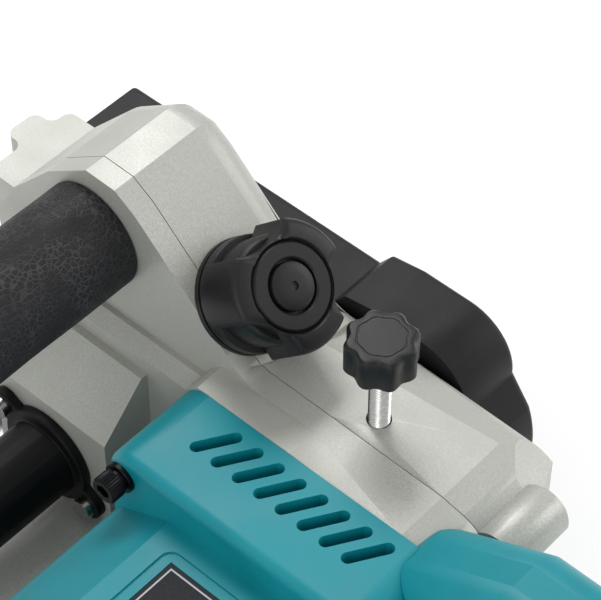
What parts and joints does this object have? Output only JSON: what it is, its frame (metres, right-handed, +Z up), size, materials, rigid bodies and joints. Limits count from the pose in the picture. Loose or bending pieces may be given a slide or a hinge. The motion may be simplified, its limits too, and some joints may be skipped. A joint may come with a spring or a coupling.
{
  "type": "thickness planer",
  "caption": "Hand-guided wide planer with crosswise motor, side belt drive, inclined depth screw and knob, bar grip and D-handle.",
  "frame": {"origin": "on the face of the rear sole, at the lock knob's distance from the front; the lock knob's stud stands at x 0, y 22 mm", "axes": "+X towards the rear handle, -Y towards the motor, +Z up from the sole"},
  "size_m": [0.398, 0.2111, 0.2043],
  "materials": {
    "cast_silver": "fine textured silver paint on castings",
    "machined_sole": "machined, fine grooves",
    "teal_plastic": "satin moulded",
    "black_plastic": "fine spark texture",
    "knob_plastic": "satin moulded",
    "foam": "pebbled foam",
    "bright_steel": "zinc plated",
    "black_steel": "black oxide",
    "dark_steel": "oiled",
    "alloy": "turned",
    "brass": "turned",
    "copper": "lacquered copper",
    "carbon": "pressed carbon",
    "belt_rubber": "moulded",
    "label": "printed plate without text"
  },
  "bodies": {
    "frame": {"main_frame": "cast_silver", "housing_left": "cast_silver", "housing_right": "cast_silver", "bearing_cover": "cast_silver", "rear_sole": "machined_sole", "motor_housing": "teal_plastic", "handle_left": "teal_plastic", "handle_right": "teal_plastic", "belt_cover": "black_plastic", "motor_end_cap": "black_plastic", "chip_nozzle": "black_plastic", "grip_end_cap": "black_plastic", "brush_caps": "black_plastic", "cable_gland": "black_plastic", "switch_body": "black_plastic", "fan_baffle": "black_plastic", "scale_ring": "black_plastic", "brush_holders": "black_plastic", "grip_foam": "foam", "grip_core": "bright_steel", "drum_bearing_left": "bright_steel", "drum_bearing_right": "bright_steel", "front_motor_bearing": "bright_steel", "rear_motor_bearing": "bright_steel", "case_screws": "bright_steel", "cover_screws": "bright_steel", "nozzle_screws": "bright_steel", "end_cap_screws": "bright_steel", "sole_screws": "bright_steel", "shoe_gibs": "bright_steel", "motor_bolts": "black_steel", "field_core": "dark_steel", "depth_bushing": "brass", "lock_insert": "brass", "field_coils": "copper", "carbon_brushes": "carbon", "drive_belt": "belt_rubber", "label_plate": "label"},
    "shoe": {"front_shoe": "machined_sole", "depth_nut": "brass"},
    "depth_knob_body": {"depth_knob": "knob_plastic", "depth_knob_cap": "knob_plastic", "depth_screw": "bright_steel"},
    "cutter_drum": {"drum": "dark_steel", "planer_knives": "bright_steel", "knife_clamps": "dark_steel", "knife_clamp_screws": "bright_steel", "drum_pulley": "alloy", "drum_pulley_nut": "bright_steel"},
    "armature": {"armature_shaft": "bright_steel", "armature_core": "dark_steel", "commutator": "copper", "cooling_fan": "black_plastic", "motor_pulley": "alloy", "motor_pulley_nut": "bright_steel"},
    "clamp": {"clamp_pad": "bright_steel"},
    "lock": {"lock_knob": "knob_plastic", "lock_stud": "bright_steel"},
    "trigger_body": {"trigger": "black_plastic"},
    "lock_button_body": {"lock_button": "knob_plastic"}
  },
  "joints": [
    {"name": "depth_knob_turn", "type": "hinge", "parent": "frame", "child": "depth_knob_body", "pos_m": [-0.0594, 0.022, 0.1664], "axis": [-0.7071, 0, -0.7071], "range_deg": [0, 720]},
    {"name": "front_shoe_slide", "type": "slide", "parent": "frame", "child": "shoe", "axis": [0.7071, 0, 0.7071], "range_m": [0, 0.003]},
    {"name": "armature_spin", "type": "hinge", "parent": "frame", "child": "armature", "pos_m": [-0.003, 0, 0.092], "axis": [0, 1, 0], "continuous": true},
    {"name": "drum_spin", "type": "hinge", "parent": "frame", "child": "cutter_drum", "pos_m": [-0.095, 0, 0.027], "axis": [0, 1, 0], "continuous": true},
    {"name": "clamp_pad_slide", "type": "slide", "parent": "frame", "child": "clamp", "axis": [0, 0, 1], "range_m": [0, 0.005]},
    {"name": "lock_knob_turn", "type": "hinge", "parent": "clamp", "child": "lock", "pos_m": [0, 0.022, 0.15], "axis": [0, 0, 1], "range_deg": [0, 1440]},
    {"name": "trigger_pull", "type": "hinge", "parent": "frame", "child": "trigger_body", "pos_m": [0.108, -0.009, 0.15], "axis": [0, -1, 0], "range_deg": [0, 6], "stiffness_Nm_per_rad": 1, "springref_deg": -11.46},
    {"name": "lock_button_press", "type": "slide", "parent": "frame", "child": "lock_button_body", "axis": [0, 1, 0], "range_m": [0, 0.003], "stiffness_N_per_m": 500, "springref_m": -0.002}
  ],
  "couplings": [
    {"joint": "depth_knob_turn", "follows": "front_shoe_slide", "rad_per_m": 4188.7},
    {"joint": "drum_spin", "follows": "armature_spin", "ratio": 0.8421},
    {"joint": "lock_knob_turn", "follows": "clamp_pad_slide", "rad_per_m": 5026.5}
  ]
}
